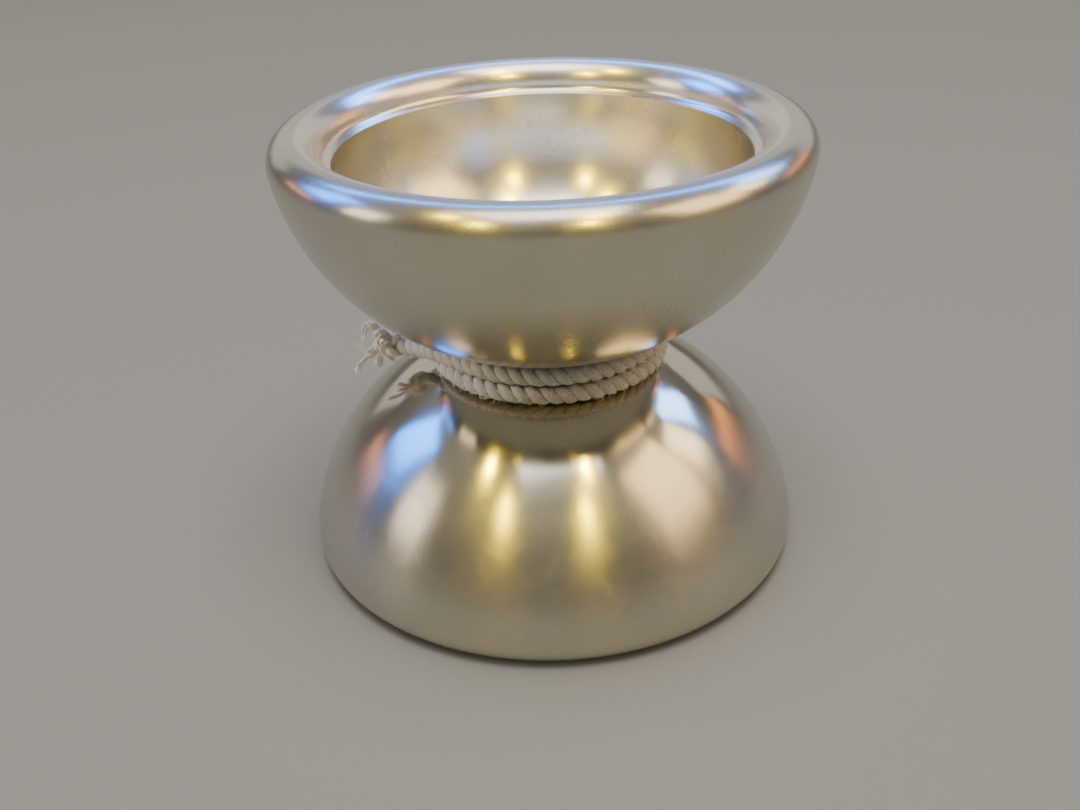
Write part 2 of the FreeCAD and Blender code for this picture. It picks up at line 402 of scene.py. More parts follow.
@dataclass(frozen=True)
class CottonYarn:
    """Undyed spun cotton: matt, hairy, a little grey where it has rubbed on the metal.

    The strands carry a UV map in millimetres, u along the strand and v round it, and a
    crown attribute, 1 on the outside of a ply and 0 in the crease between plies. Where crown is
    low the colour is darkened as painted shade in the creases.
    """

    name: str = "spun_cotton"
    slot: str = "cotton_string"
    # light and shade are two tones that the rub and fibre noise mix at random. These defaults, the cord's, are greyed
    # as painted shade for the cord's place in the gap between the cups.
    light: str = "#CAC8C0"
    shade: str = "#94918A"
    # Painted shade: the next colour darkens the creases between the plies, where crown is low.
    crease_shade: str = "#56534C"
    fibre_mm: float = 0.17  # single fibres are ten times finer, drawn this coarse so that they show
    fibre_run_mm: float = 1.6
    fibre_slant: float = -14.0
    rub_mm: float = 50 / 21
    sheen: str = "#F4EDDF"

    def material(self) -> bpy.types.Material:
        """Builds the material."""
        material, tree, shader, coordinates = blank_material(self.name)
        turned = add_node(
            tree, "ShaderNodeMapping",
            {"Vector": coordinates.outputs["UV"], "Rotation": (0.0, 0.0, math.radians(self.fibre_slant)),
             "Scale": (1 / self.fibre_run_mm, 1 / self.fibre_mm, 1.0)},
        )
        fibres = add_node(
            tree, "ShaderNodeTexNoise",
            {"Vector": turned, "Scale": 1.0, "Detail": 3.0, "Roughness": 0.6, "Distortion": 0.4},
        )
        rub = noise(tree, coordinates.outputs["Object"], self.rub_mm, Detail=4.0)
        crown = add_node(tree, "ShaderNodeAttribute", attribute_name="crown").outputs["Fac"]
        rubbed = spread(tree, rub, 0.35, 0.75, 0.0, 0.7)
        streak = spread(tree, fibres, 0.35, 0.7, 0.0, 0.65)
        body = blend(tree, maths(tree, "MAXIMUM", rubbed, streak), self.light, self.shade)
        # The base colour carries painted shade in the creases between plies, where crown is low, over tones mixed at
        # random.
        feed(tree, shader, {
            "Base Color": blend(tree, spread(tree, crown, 0.34, 0.72), self.crease_shade, body),
            "Normal": bump(tree, fibres, 5e-5, 0.9),
            "Roughness": 0.9, "Specular IOR Level": 0.25,
            "Sheen Weight": 0.35, "Sheen Roughness": 0.5, "Sheen Tint": linear(self.sheen),
        })
        return material


@dataclass(frozen=True)
class PaleFloor:
    """A matt pale sheet of studio board with a barely visible tooth."""

    name: str = "studio_board"
    tone: str = "#B9B9B8"
    tooth_mm: float = 0.4

    def material(self) -> bpy.types.Material:
        """Builds the material."""
        material, tree, shader, coordinates = blank_material(self.name)
        tooth = noise(tree, coordinates.outputs["Object"], self.tooth_mm, Detail=2.0)
        feed(tree, shader, {
            "Base Color": linear(self.tone), "Roughness": 0.75, "Normal": bump(tree, tooth, 2e-5, 0.1),
        })
        return material


class Finish(Enum):
    """Every finish on the toy."""

    CUP = BlastedAluminium()
    PAD = CastSilicone()
    STRING = CottonYarn()
    # The frayed end, knot and fuzz take a near-white copy of the same cotton: painted light, which keeps the frayed
    # end bright in the upper cup's shadow.
    TUFT = CottonYarn(name="frayed_cotton", light="#FFFDF8", shade="#F0ECE0", crease_shade="#EAE1CB")
    AXLE = MachinedSteel("rolled_stainless", "stainless_screw", "#C9C8C4", "#9C9A95", 0.32, 0.09, 3.0)
    RACE = MachinedSteel("ground_bearing_steel", "bearing_steel", "#CBCBCD", "#A5A6A9", 0.16, 0.05, 1.0)
    BALL = MachinedSteel("polished_ball_steel", "ball_steel", "#DCDCDE", "#C6C7CA", 0.06, 0.4, 0.2)
    CAGE = MachinedSteel("pressed_cage_steel", "cage_steel", "#B7AF9F", "#8F8778", 0.34, 0.12, 3.0)
    SHIELD = MachinedSteel("stamped_shield_steel", "shield_steel", "#CCCBC8", "#A8A7A4", 0.24, 0.08, 2.0)
    SNAP_RING = MachinedSteel("drawn_spring_steel", "snap_ring_steel", "#9A9A9B", "#6E6E70", 0.30, 0.10, 2.0)

    def material(self) -> bpy.types.Material:
        """The finish as a Blender material, built the first time that it is asked for."""
        if self.value.name not in MADE:
            MADE[self.value.name] = self.value.material()
        return MADE[self.value.name]

    @property
    def slot(self) -> str:
        """The record's material slot that this finish belongs to."""
        return self.value.slot


# ------------------------------------------------------------------ geometry trees


def new_geometry_tree(name: str, **inputs: str) -> tuple[bpy.types.NodeTree, bpy.types.Node]:
    """Starts a geometry tree.

    Args:
        name: The tree's name.
        **inputs: Name of each input after the geometry, to its kind of socket.

    Returns:
        The tree and its input node.
    """
    tree = bpy.data.node_groups.new(name, "GeometryNodeTree")
    for label, kind in {"Geometry": "Geometry", **inputs, "Finish": "Material"}.items():
        tree.interface.new_socket(label, in_out="INPUT", socket_type=f"NodeSocket{kind}")
    tree.interface.new_socket("Geometry", in_out="OUTPUT", socket_type="NodeSocketGeometry")
    return tree, add_node(tree, "NodeGroupInput")


def close_geometry_tree(tree: bpy.types.NodeTree, shape: bpy.types.Node, given: bpy.types.Node) -> None:
    """Ends a geometry tree in Realize Instances and Set Material."""
    real = add_node(tree, "GeometryNodeRealizeInstances", {0: shape})
    painted = add_node(
        tree, "GeometryNodeSetMaterial", {"Geometry": real, "Material": given.outputs["Finish"]}
    )
    add_node(tree, "NodeGroupOutput", {0: painted})


def lathe_tree() -> bpy.types.NodeTree:
    """A tree that turns the source's points, an outline in the XZ plane, about Z."""
    name = "turned_on_the_lathe"
    if name in bpy.data.node_groups:
        return bpy.data.node_groups[name]
    tree, given = new_geometry_tree(name, Segments="Int", Sweep="Float")
    segments = given.outputs["Segments"]
    count = add_node(tree, "GeometryNodeAttributeDomainSize", {0: given}).outputs["Point Count"]
    columns = maths(tree, "ADD", segments, 1.0)
    grid = add_node(tree, "GeometryNodeMeshGrid", {"Vertices X": columns, "Vertices Y": count})
    index = add_node(tree, "GeometryNodeInputIndex")
    share = maths(tree, "DIVIDE", maths(tree, "ADD", index, 0.5), count)
    column = maths(tree, "FLOOR", share)
    row = maths(tree, "SUBTRACT", index, maths(tree, "MULTIPLY", column, count))
    place = add_node(tree, "GeometryNodeInputPosition")
    spot = add_node(
        tree, "GeometryNodeSampleIndex", {"Geometry": given, "Value": place, "Index": row},
        data_type="FLOAT_VECTOR", domain="POINT",
    )
    angle = maths(tree, "MULTIPLY", maths(tree, "DIVIDE", column, segments), given.outputs["Sweep"])
    turned = add_node(tree, "ShaderNodeVectorRotate", {"Vector": spot, "Angle": angle}, rotation_type="Z_AXIS")
    wrapped = add_node(tree, "GeometryNodeSetPosition", {"Geometry": grid, "Position": turned})
    merged = add_node(tree, "GeometryNodeMergeByDistance", {"Geometry": wrapped, "Distance": 1e-7})
    close_geometry_tree(tree, merged, given)
    return tree


def thread_tree() -> bpy.types.NodeTree:
    """A tree that rolls a screw thread into the source, a rod along Z."""
    tree, given = new_geometry_tree("rolled_thread", Pitch="Float", Depth="Float", Core="Float")
    axes, flat, radius = around_axis(tree, add_node(tree, "GeometryNodeInputPosition"))
    turns = maths(tree, "DIVIDE", maths(tree, "ARCTAN2", axes.outputs[1], axes), FULL_TURN)
    rise = maths(tree, "DIVIDE", axes.outputs[2], given.outputs["Pitch"])
    ridge = maths(tree, "PINGPONG", maths(tree, "SUBTRACT", rise, turns), 0.5)
    cut = maths(tree, "MULTIPLY", spread(tree, ridge, 0.07, 0.44), given.outputs["Depth"])
    spare = maths(tree, "SUBTRACT", radius, given.outputs["Core"])
    kept = maths(tree, "MAXIMUM", maths(tree, "MINIMUM", cut, spare), 0.0)
    inward = maths(tree, "MULTIPLY", kept, -1.0)
    offset = vectors(tree, "SCALE", vectors(tree, "NORMALIZE", flat), Scale=inward)
    rolled = add_node(tree, "GeometryNodeSetPosition", {"Geometry": given, "Offset": offset})
    close_geometry_tree(tree, rolled, given)
    return tree


def fuzz_tree() -> bpy.types.NodeTree:
    """A tree that stands short curved fibres on the source's faces."""
    tree, given = new_geometry_tree(
        "loose_fibres", Density="Float", Length="Float", Thickness="Float", Seed="Int"
    )
    length, seed = given.outputs["Length"], given.outputs["Seed"]
    tip = add_node(tree, "ShaderNodeCombineXYZ", {0: length})
    raised = add_node(tree, "ShaderNodeCombineXYZ", {2: maths(tree, "MULTIPLY", length, 0.45)})
    middle = vectors(tree, "ADD", vectors(tree, "SCALE", tip, Scale=0.55), raised)
    hair = add_node(
        tree, "GeometryNodeCurveQuadraticBezier",
        {"Resolution": 4, "Start": (0.0, 0.0, 0.0), "Middle": middle, "End": tip},
    )
    section = add_node(
        tree, "GeometryNodeCurvePrimitiveCircle", {"Resolution": 3, "Radius": given.outputs["Thickness"]}
    )
    skin = add_node(
        tree, "GeometryNodeCurveToMesh", {"Curve": hair, "Profile Curve": section, "Fill Caps": True}
    )
    fibre = add_node(
        tree, "GeometryNodeStoreNamedAttribute", {"Geometry": skin, "Name": "crown", "Value": 1.0},
        data_type="FLOAT", domain="POINT",
    )
    scatter = add_node(
        tree, "GeometryNodeDistributePointsOnFaces",
        {"Mesh": given, "Density": given.outputs["Density"], "Seed": seed}, distribute_method="RANDOM",
    )
    tilt = add_node(
        tree, "FunctionNodeRandomValue", {0: (-0.5, -0.9, 0.0), 1: (0.5, 0.35, FULL_TURN), "Seed": seed},
        data_type="FLOAT_VECTOR",
    )
    stood = add_node(
        tree, "FunctionNodeRotateRotation",
        {"Rotation": scatter.outputs["Rotation"], "Rotate By": tilt}, rotation_space="LOCAL",
    )
    size = add_node(tree, "FunctionNodeRandomValue", {2: 0.45, 3: 1.35, "Seed": 7}, data_type="FLOAT")
    placed = add_node(
        tree, "GeometryNodeInstanceOnPoints",
        {"Points": scatter, "Instance": fibre, "Rotation": stood, "Scale": size.outputs[1]},
    )
    close_geometry_tree(tree, placed, given)
    return tree


def tuft_tree() -> bpy.types.NodeTree:
    """A tree that splits each yarn of the source, an edge line, into fibres that spread at its tip."""
    tree, given = new_geometry_tree(
        "frayed_yarns", Fibres="Int", Bundle="Float", Spread="Float", Thickness="Float", Seed="Int"
    )
    lines = add_node(tree, "GeometryNodeMeshToCurve", {0: given})
    even = add_node(tree, "GeometryNodeResampleCurve", {"Curve": lines, "Count": 18})
    copies = add_node(
        tree, "GeometryNodeDuplicateElements", {"Geometry": even, "Amount": given.outputs["Fibres"]},
        domain="SPLINE",
    )
    splines = add_node(tree, "GeometryNodeCaptureAttribute", {"Geometry": copies}, domain="CURVE")
    splines.capture_items.new("VECTOR", "own")
    own = add_node(
        tree, "FunctionNodeRandomValue",
        {0: (-1.0, -1.0, -1.0), 1: (1.0, 1.0, 1.0), "Seed": given.outputs["Seed"]}, data_type="FLOAT_VECTOR",
    )
    feed(tree, splines, {1: own})
    own_way = splines.outputs[1]
    along = add_node(tree, "GeometryNodeSplineParameter").outputs["Factor"]
    growth = maths(
        tree, "MULTIPLY_ADD", maths(tree, "POWER", along, 1.7), given.outputs["Spread"], given.outputs["Bundle"]
    )
    fan = vectors(tree, "SCALE", own_way, Scale=growth)
    place = add_node(tree, "GeometryNodeInputPosition")
    shifted = vectors(tree, "MULTIPLY_ADD", own_way, (0.02, 0.02, 0.02), place)
    ripple = noise(tree, shifted, RIPPLE_MM, Detail=1.0).outputs["Color"]
    wave = vectors(
        tree, "SCALE", vectors(tree, "SUBTRACT", ripple, (0.5, 0.5, 0.5)),
        Scale=maths(tree, "MULTIPLY", along, 0.9 * MM),
    )
    frayed = add_node(
        tree, "GeometryNodeSetPosition", {"Geometry": splines, "Offset": vectors(tree, "ADD", fan, wave)}
    )
    # Crown runs from 0 at each fibre's root to 0.9 at its tip, so the root takes the painted crease shade and the tips
    # stay light.
    toned = add_node(
        tree, "GeometryNodeStoreNamedAttribute",
        {"Geometry": frayed, "Name": "crown", "Value": maths(tree, "MULTIPLY", along, 0.9)},
        data_type="FLOAT", domain="POINT",
    )
    thin = spread(tree, along, 0.0, 1.0, 1.0, 0.55)
    skin = add_node(
        tree, "GeometryNodeCurveToMesh",
        {"Curve": toned,
         "Profile Curve": add_node(tree, "GeometryNodeCurvePrimitiveCircle", {"Resolution": 5, "Radius": 1.0}),
         "Fill Caps": True, "Scale": maths(tree, "MULTIPLY", thin, given.outputs["Thickness"])},
    )
    close_geometry_tree(tree, skin, given)
    return tree


# ------------------------------------------------------------------ turned pieces


class Outline:
    """A turned outline in mm, (radius, height), whose corners can be eased."""

    def __init__(self) -> None:
        """Starts with no points."""
        self.points: list[tuple[float, float, float]] = []

    def corner(self, radius: float, height: float, ease: float = 0.0) -> "Outline":
        """Adds a corner, broken by an ease of that size in mm."""
        self.points.append((radius, height, ease))
        return self

    def arc(self, centre: tuple[float, float], radius: float, start: float, end: float, steps: int) -> "Outline":
        """Adds an arc, its angles in degrees from +radius towards +height."""
        for angle in np.radians(np.linspace(start, end, steps)):
            self.points.append((centre[0] + radius * math.cos(angle), centre[1] + radius * math.sin(angle), 0.0))
        return self

    def bezier(self, steps: int, *poles: tuple[float, float]) -> "Outline":
        """Adds a Bezier curve of any degree through its end poles."""
        grid = [np.array(p, float) for p in poles]
        for t in np.linspace(0, 1, steps):
            level = grid
            while len(level) > 1:
                level = [a * (1 - t) + b * t for a, b in zip(level, level[1:])]
            self.points.append((float(level[0][0]), float(level[0][1]), 0.0))
        return self

    def closed(self) -> "Outline":
        """Joins the outline's end to its start."""
        self.points.append(self.points[0])
        return self

    def traced(self) -> list[tuple[float, float]]:
        """Gives the outline's points with its eased corners drawn as small curves."""
        spots = [np.array(p[:2]) for p in self.points]
        whole = len(spots) > 2 and np.allclose(spots[0], spots[-1])
        out: list[np.ndarray] = []
        for i, (spot, (_, _, ease)) in enumerate(zip(spots, self.points)):
            before = spots[i - 1] if i else (spots[-2] if whole else None)
            after = spots[i + 1] if i + 1 < len(spots) else (spots[1] if whole else None)
            if ease <= 0 or before is None or after is None:
                out.append(spot)
                continue
            a, b = before - spot, after - spot
            a *= min(ease / np.linalg.norm(a), 0.45)
            b *= min(ease / np.linalg.norm(b), 0.45)
            for t in np.linspace(0, 1, 5):
                out.append(spot + a * (1 - t) ** 2 + b * t**2)
        if whole:
            out[-1] = out[0] if self.points[0][2] <= 0 else out[-1]
            if not np.allclose(out[0], out[-1]):
                out.append(out[0])
        kept = [out[0]] + [q for p, q in zip(out, out[1:]) if np.linalg.norm(q - p) > 1e-5]
        return [(float(p[0]), float(p[1])) for p in kept]


def turned_mesh(
    outline: Outline, side: Side, finish: Finish, segments: int, sweep: float = FULL_TURN
) -> bpy.types.Mesh:
    """Turns an outline about the spin axis.

    Args:
        outline: Radius and distance from the gap's middle plane, mm.
        side: The side of the middle plane that the piece lies on.
        finish: The piece's finish.
        segments: Facets round the sweep.
        sweep: Angle turned through.

    Returns:
        The closed mesh, in place.
    """
    corners = [(r * MM, 0.0, side.height(h) * MM) for r, h in outline.traced()]
    mesh = bpy.data.meshes.new("outline")
    mesh.from_pydata(corners, [(i, i + 1) for i in range(len(corners) - 1)], [])
    source = new_piece("outline", mesh)
    made = run_tree(source, lathe_tree(), {"Segments": segments, "Sweep": sweep, "Finish": finish.material()})
    bpy.data.objects.remove(source)
    if sweep < FULL_TURN:
        shape = bmesh.new()
        shape.from_mesh(made)
        bmesh.ops.holes_fill(shape, edges=[edge for edge in shape.edges if edge.is_boundary])
        shape.to_mesh(made)
        shape.free()
    return faced_outwards(made)


@dataclass
class CupHalf:
    """One aluminium cup with its response pad. Sizes in mm, heights from the gap's middle."""

    side: Side
    body: Body
    diameter: float = 55.0
    half_width: float = 24.0
    half_gap: float = 2.2
    rim_wall: float = 5.2
    rim_land: float = 0.5
    gap_flat_radius: float = 10.8
    gap_blend_radius: float = 7.0
    dome_start_angle: float = 26.0
    dome_start_handle: float = 13.0
    dome_end_handle: float = 1.6
    ledge_drop: float = 0.9
    ledge_radius: float = 21.3
    bowl_wall_pole: tuple[float, float] = (24.3, 14.8)
    bowl_bend_pole: tuple[float, float] = (21.7, 6.5)
    bowl_floor: tuple[float, float] = (12.2, 4.9)
    hub_approach_pole: tuple[float, float] = (9.0, 4.55)
    hub_foot_pole: tuple[float, float] = (5.2, 4.9)
    hub_radius: float = 4.2
    hub_height: float = 10.4
    hub_fillet: float = 0.8
    tap_radius: float = 2.02
    tap_end: float = 8.6
    relief_radius: float = 2.22
    relief_end: float = 2.4
    post_radius: float = 3.16
    post_nose: float = 0.3
    shoulder_radius: float = 4.1
    shoulder_height: float = 2.38
    recess_radius: float = 6.6
    recess_floor: float = 2.8
    pad_inner: float = 7.1
    pad_outer: float = 9.7
    pad_thickness: float = 1.2
    pad_below_wall: float = 0.05
    broken_edge: float = 0.08

    def seat(self, outline: Outline) -> Outline:
        """Adds the bore, bearing post, recess and pad groove, from the axis out to the gap wall."""
        groove = self.half_gap + self.pad_below_wall + self.pad_thickness
        edge = self.broken_edge
        for radius, height, ease in (
            (0.0, self.tap_end, 0.0), (self.tap_radius, self.tap_end, 0.0),
            (self.tap_radius, self.relief_end, 0.0), (self.relief_radius, self.relief_end, 0.0),
            (self.relief_radius, self.post_nose, edge), (self.post_radius, self.post_nose, 2 * edge),
            (self.post_radius, self.shoulder_height, 0.0), (self.shoulder_radius, self.shoulder_height, edge),
            (self.shoulder_radius, self.recess_floor, 0.0), (self.recess_radius, self.recess_floor, edge),
            (self.recess_radius, self.half_gap, edge), (self.pad_inner, self.half_gap, edge),
            (self.pad_inner, groove, 0.0), (self.pad_outer, groove, 0.0), (self.pad_outer, self.half_gap, edge),
        ):
            outline.corner(radius, height, ease)
        return outline

    def outside(self, outline: Outline) -> Outline:
        """Adds the gap wall, dome and rim."""
        centre = (self.gap_flat_radius, self.half_gap + self.gap_blend_radius)
        outline.arc(centre, self.gap_blend_radius, -90, -90 + self.dome_start_angle, 18)
        slope = math.radians(self.dome_start_angle)
        start = outline.points[-1][:2]
        rim = (self.rim_wall - self.rim_land) / 2
        rim_centre = (self.diameter / 2 - rim, self.half_width - rim)
        outline.bezier(
            72, start,
            (start[0] + math.cos(slope) * self.dome_start_handle, start[1] + math.sin(slope) * self.dome_start_handle),
            (self.diameter / 2, rim_centre[1] - self.dome_end_handle),
            (self.diameter / 2, rim_centre[1]),
        )
        outline.arc(rim_centre, rim, 0, 90, 26)
        outline.arc((rim_centre[0] - self.rim_land, rim_centre[1]), rim, 90, 180, 26)
        return outline

    def bowl(self, outline: Outline) -> Outline:
        """Adds the ledge under the rim, the bowl and the hub, in to the axis."""
        lip = outline.points[-1][:2]
        ledge = (self.ledge_radius, lip[1] - self.ledge_drop)
        outline.bezier(8, lip, (lip[0], ledge[1] + 0.1), ledge)
        outline.bezier(50, ledge, self.bowl_wall_pole, self.bowl_bend_pole, self.bowl_floor)
        side_top = (self.hub_radius, self.hub_height - self.hub_fillet)
        outline.bezier(26, self.bowl_floor, self.hub_approach_pole, self.hub_foot_pole, side_top)
        outline.arc((self.hub_radius - self.hub_fillet, side_top[1]), self.hub_fillet, 0, 90, 7)
        outline.corner(0.0, self.hub_height)
        return outline

    def pad_outline(self) -> Outline:
        """The silicone ring in the gap wall, with a slight swell between its chamfers."""
        mouth = self.half_gap + self.pad_below_wall
        back = mouth + self.pad_thickness
        outline = Outline().corner(self.pad_inner, back).corner(self.pad_outer, back)
        outline.corner(self.pad_outer, mouth + 0.16, 0.05).corner(self.pad_outer - 0.15, mouth + 0.02, 0.08)
        outline.corner(self.pad_outer - 0.8, mouth, 0.4).corner(self.pad_inner + 0.8, mouth, 0.4)
        outline.corner(self.pad_inner + 0.15, mouth + 0.02, 0.08).corner(self.pad_inner, mouth + 0.16, 0.05)
        return outline.closed()

    def build(self) -> None:
        """Turns the cup and its pad and puts each on its body."""
        word = self.side.name.lower()
        cup = self.bowl(self.outside(self.seat(Outline())))
        for name, outline, finish, node in (
            (f"cup_{word}", cup, Finish.CUP, f"{word}_half"),
            (f"pad_{word}", self.pad_outline(), Finish.PAD, f"response_pad_{word}"),
        ):
            piece = new_piece(name, turned_mesh(outline, self.side, finish, LATHE_SEGMENTS))
            install(piece, self.body, finish, node)


@dataclass
class Bearing:
    """The 6.35 x 12.7 x 4.76 mm ball bearing: races, shields, snap rings, balls and cage."""

    bore: float = 3.175
    inner_land: float = 4.25
    outer_land: float = 5.28
    outer: float = 6.35
    half_width: float = 2.38
    pitch_radius: float = 4.7625
    groove: float = 0.814
    seat_radius: float = 5.7
    shield_inner: float = 4.42
    shield_thickness: float = 0.15
    snap_thickness: float = 0.22
    snap_width: float = 0.35
    snap_opening: float = 24.0
    ease: float = 0.12
    ball_count: int = 10

    def inner_race(self) -> Outline:
        """Inner race with the ball track ground in its outside."""
        reach = math.degrees(math.acos((self.pitch_radius - self.inner_land) / self.groove))
        outline = Outline().corner(self.bore, -self.half_width, self.ease)
        outline.corner(self.inner_land, -self.half_width, self.ease)
        outline.arc((self.pitch_radius, 0.0), self.groove, 180 + reach, 180 - reach, 14)
        outline.corner(self.inner_land, self.half_width, self.ease)
        return outline.corner(self.bore, self.half_width, self.ease).closed()

    def outer_race(self) -> Outline:
        """Outer race with its ball track and a step for each shield."""
        seat = self.half_width - self.shield_thickness - self.snap_thickness
        reach = math.degrees(math.acos((self.outer_land - self.pitch_radius) / self.groove))
        outline = Outline().corner(self.outer, self.half_width, self.ease)
        outline.corner(self.seat_radius, self.half_width, 0.04).corner(self.seat_radius, seat)
        outline.corner(self.outer_land, seat, 0.04)
        outline.arc((self.pitch_radius, 0.0), self.groove, reach, -reach, 14)
        outline.corner(self.outer_land, -seat, 0.04).corner(self.seat_radius, -seat)
        outline.corner(self.seat_radius, -self.half_width, 0.04)
        return outline.corner(self.outer, -self.half_width, self.ease).closed()

    def shield(self) -> Outline:
        """Stamped shield with a shallow pressed ring."""
        low = self.half_width - self.snap_thickness - self.shield_thickness
        high = low + self.shield_thickness
        top = [(self.seat_radius, high), (5.25, high), (5.15, high - 0.07), (4.8, high - 0.07), (4.7, high)]
        outline = Outline().corner(self.seat_radius, low)
        for radius, height in top:
            outline.corner(radius, height, 0.04)
        outline.corner(self.shield_inner, high, 0.05)
        return outline.corner(self.shield_inner, low, 0.05).closed()

    def snap_ring(self) -> Outline:
        """Square spring wire that holds a shield in its step."""
        low = self.half_width - self.snap_thickness
        inner = self.seat_radius - self.snap_width
        outline = Outline().corner(inner, low, 0.04).corner(self.seat_radius, low, 0.04)
        return outline.corner(self.seat_radius, self.half_width, 0.04).corner(inner, self.half_width, 0.04).closed()

    def build(self) -> None:
        """Builds the turned and stamped pieces and dresses the balls and cage."""
        sprung = FULL_TURN - math.radians(self.snap_opening)
        pieces = [
            ("race_inner", self.inner_race(), Side.UPPER, Finish.RACE, FULL_TURN, "bearing_inner_race", Body.LOWER),
            ("race_outer", self.outer_race(), Side.UPPER, Finish.RACE, FULL_TURN, "bearing_outer_race",
             Body.OUTER_RACE),
        ]
        for side in Side:
            word = side.name.lower()
            for name, outline, finish, sweep in (
                (f"shield_{word}", self.shield(), Finish.SHIELD, FULL_TURN),
                (f"snap_ring_{word}", self.snap_ring(), Finish.SNAP_RING, sprung),
            ):
                pieces.append((name, outline, side, finish, sweep, f"bearing_{name}", Body.OUTER_RACE))
        for name, outline, side, finish, sweep, node, body in pieces:
            mesh = turned_mesh(outline, side, finish, SMALL_SEGMENTS, sweep)
            install(new_piece(name, mesh), body, finish, node)
        for index in range(1, self.ball_count + 1):
            dress(f"bearing_ball_{index:02d}", Finish.BALL.material())
        dress("bearing_cage", Finish.CAGE.material())


@dataclass
class Axle:
    """The headless M4 set screw that joins the cups, with a hexagon socket. Sizes in mm."""

    radius: float = 1.97
    length: float = 16.0
    chamfer: float = 0.35
    pitch: float = 0.7
    thread_depth: float = 0.38
    core: float = 1.56
    socket_flats: float = 2.0
    socket_depth: float = 2.6
    rows_per_pitch: int = 12
    segments: int = 60

    def outline(self) -> Outline:
        """The plain rod before its thread is rolled, with the socket's mouth, wall and floor."""
        half = self.length / 2
        outline = Outline().corner(0.0, -half).corner(self.core, -half).corner(self.radius, -half + self.chamfer)
        rows = round(self.length / self.pitch * self.rows_per_pitch)
        for height in np.linspace(-half + self.chamfer, half - self.chamfer, rows)[1:]:
            outline.corner(self.radius, float(height))
        mouth = self.socket_flats / 2
        outline.corner(self.core, half).corner(mouth + 0.25, half).corner(mouth, half - 0.15)
        return outline.corner(mouth, half - self.socket_depth).corner(0.0, half - self.socket_depth - 0.3)

    def build(self) -> None:
        """Turns the rod, makes its socket six-sided and rolls its thread."""
        mesh = turned_mesh(self.outline(), Side.UPPER, Finish.AXLE, self.segments)
        half, reach = self.length / 2, self.socket_flats / 2
        for vertex in mesh.vertices:
            around = math.hypot(vertex.co.x, vertex.co.y) / MM
            up = vertex.co.z / MM - MIDDLE
            if up > half - self.socket_depth - 0.1 and 0.5 * reach < around < reach * 1.05:
                angle = math.atan2(vertex.co.y, vertex.co.x)
                stretch = 1 / math.cos((angle + FULL_TURN) % (FULL_TURN / 6) - FULL_TURN / 12)
                vertex.co.x *= stretch
                vertex.co.y *= stretch
        rod = new_piece("axle_screw", mesh)
        rod.data = run_tree(
            rod, thread_tree(),
            {"Pitch": self.pitch * MM, "Depth": self.thread_depth * MM, "Core": self.core * MM,
             "Finish": Finish.AXLE.material()},
        )
        faced_outwards(rod.data, THREAD_CREASE)
        install(rod, Body.AXLE, Finish.AXLE, "axle_set_screw")


# ------------------------------------------------------------------ string


def distances(line: np.ndarray) -> np.ndarray:
    """Gives the distance of each point along its line."""
    return np.concatenate([[0.0], np.cumsum(np.linalg.norm(np.diff(line, axis=0), axis=1))])


def evenly(line: np.ndarray, step: float) -> np.ndarray:
    """Gives a line's points again, evenly spaced about step apart."""
    along = distances(line)
    at = np.linspace(0, along[-1], max(3, math.ceil(along[-1] / step) + 1))
    return np.stack([np.interp(at, along, line[:, axis]) for axis in range(3)], axis=1)


def unit(arrows: np.ndarray) -> np.ndarray:
    """Gives each row at length 1."""
    return arrows / np.maximum(np.linalg.norm(arrows, axis=-1, keepdims=True), 1e-15)


def smooth_line(points: list[Place]) -> np.ndarray:
    """Gives the points of one NURBS spline, drawn by its control points, in metres."""
    data = bpy.data.curves.new("line", "CURVE")
    data.dimensions = "3D"
    spline = data.splines.new("NURBS")
    spline.points.add(len(points) - 1)
    for target, spot in zip(spline.points, points):
        target.co = (*spot, 1.0)
    spline.order_u = 3
    spline.use_endpoint_u = True
    bare = bpy.data.objects.new("line", data)
    mesh = bpy.data.meshes.new_from_object(bare)
    line = np.array([v.co for v in mesh.vertices], float)
    bpy.data.meshes.remove(mesh)
    bpy.data.objects.remove(bare)
    bpy.data.curves.remove(data)
    return line


def carried_normals(line: np.ndarray) -> tuple[np.ndarray, np.ndarray]:
    """Carries a frame along a line without twist.

    Args:
        line: Points along the line.

    Returns:
        The normal and binormal at each point.
    """
    tangents = unit(np.gradient(line, axis=0))
    normals = np.zeros_like(line)
    helper = np.array([0.0, 0.0, 1.0]) if abs(tangents[0, 2]) < 0.9 else np.array([1.0, 0.0, 0.0])
    normal = unit(np.cross(tangents[0], np.cross(helper, tangents[0])))
    for i, tangent in enumerate(tangents):
        normal = unit(normal - tangent * float(normal @ tangent))
        normals[i] = normal
    return normals, np.cross(tangents, normals)


